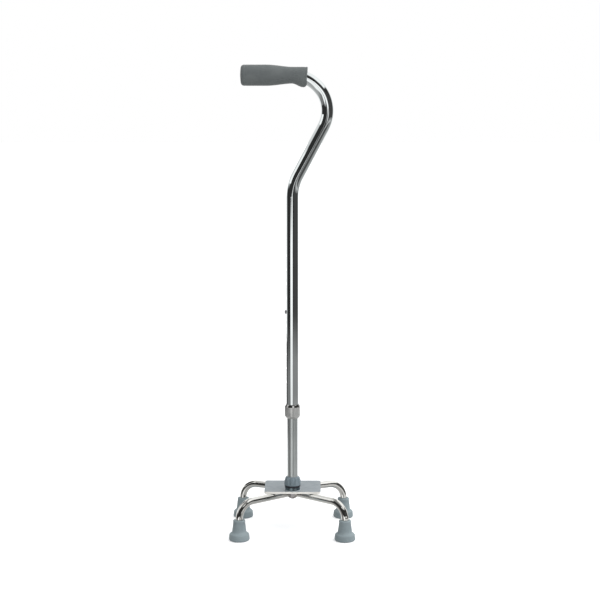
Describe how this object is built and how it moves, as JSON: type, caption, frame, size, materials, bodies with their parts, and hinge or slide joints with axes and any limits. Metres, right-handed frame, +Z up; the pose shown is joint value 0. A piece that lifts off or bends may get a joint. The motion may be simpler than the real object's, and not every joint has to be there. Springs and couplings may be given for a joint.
{
  "type": "quad walking cane",
  "caption": "Swan-neck walking cane: moulded grip, telescoping shaft with snap button and lock nuts, and a low swivelling base on bent legs with rubber tips.",
  "frame": {"origin": "on the floor, at the centre of the four feet", "axes": "+Z up along the shaft, grip pointing to -X, the shaft nearer the -Y feet"},
  "size_m": [0.2248, 0.1798, 0.8365],
  "materials": {
    "grip": "moulded, satin",
    "inner_plastic": "moulded",
    "chrome_tube": "bright, polished",
    "ferrule": "turned",
    "collet": "moulded",
    "upper_nut": "satin, finely ribbed",
    "lower_tube": "bright, polished",
    "spring_steel": "plain",
    "button": "polished",
    "inner_metal": "turned",
    "hardware": "zinc plated",
    "base_nut": "moulded, satin",
    "seal": "moulded, matt",
    "socket": "turned",
    "plate_paint": "satin grey-blue paint",
    "weld": "welded",
    "chrome_rod": "bright, polished",
    "tip_rubber": "moulded, matt"
  },
  "bodies": {
    "base": {"base_plate": "plate_paint", "base_socket": "socket", "dust_ring": "seal", "thrust_washer": "inner_plastic", "weld_beads": "weld", "front_leg_rod": "chrome_rod", "rear_leg_rod": "chrome_rod", "front_left_tip": "tip_rubber", "front_right_tip": "tip_rubber", "rear_left_tip": "tip_rubber", "rear_right_tip": "tip_rubber", "tip_washers": "hardware"},
    "lower_shaft": {"lower_tube": "lower_tube", "glide_bush": "inner_plastic", "snap_spring": "spring_steel", "tube_plug": "inner_metal", "pivot_stud": "hardware", "pivot_washer": "hardware", "pivot_cap_nut": "hardware"},
    "snap_button_body": {"snap_button": "button"},
    "upper_shaft": {"upper_tube": "chrome_tube", "upper_ferrule": "ferrule", "handle_grip": "grip", "handle_end_plug": "inner_plastic"},
    "upper_collet_body": {"upper_collet": "collet"},
    "upper_nut_body": {"upper_lock_nut": "upper_nut"},
    "base_collet_body": {"base_collet": "collet"},
    "base_nut_body": {"base_nut": "base_nut"}
  },
  "joints": [
    {"name": "base_swivel", "type": "hinge", "parent": "base", "child": "lower_shaft", "pos_m": [0, -0.0156, 0.1], "axis": [0, 0, 1], "continuous": true},
    {"name": "height_adjust", "type": "slide", "parent": "lower_shaft", "child": "upper_shaft", "axis": [0, 0, 1], "range_m": [-0.1016, 0.127], "deforming": ["snap_button", "snap_spring"]},
    {"name": "button_press", "type": "slide", "parent": "lower_shaft", "child": "snap_button_body", "axis": [1, 0, 0], "range_m": [0, 0.0047], "stiffness_N_per_m": 1500, "deforming": ["snap_spring"]},
    {"name": "upper_collet_slide", "type": "slide", "parent": "upper_shaft", "child": "upper_collet_body", "axis": [0, 0, 1], "range_m": [-0.003, 0]},
    {"name": "upper_nut_turn", "type": "hinge", "parent": "upper_collet_body", "child": "upper_nut_body", "pos_m": [0, -0.0156, 0.22], "axis": [0, 0, 1], "range_deg": [-720, 0]},
    {"name": "base_collet_slide", "type": "slide", "parent": "base", "child": "base_collet_body", "axis": [0, 0, 1], "range_m": [0, 0.003]},
    {"name": "base_nut_turn", "type": "hinge", "parent": "base_collet_body", "child": "base_nut_body", "pos_m": [0, -0.0156, 0.09], "axis": [0, 0, 1], "range_deg": [0, 720]}
  ],
  "couplings": [
    {"joint": "upper_collet_slide", "follows": "upper_nut_turn", "m_per_rad": 0.00023873},
    {"joint": "base_collet_slide", "follows": "base_nut_turn", "m_per_rad": 0.00023873}
  ]
}
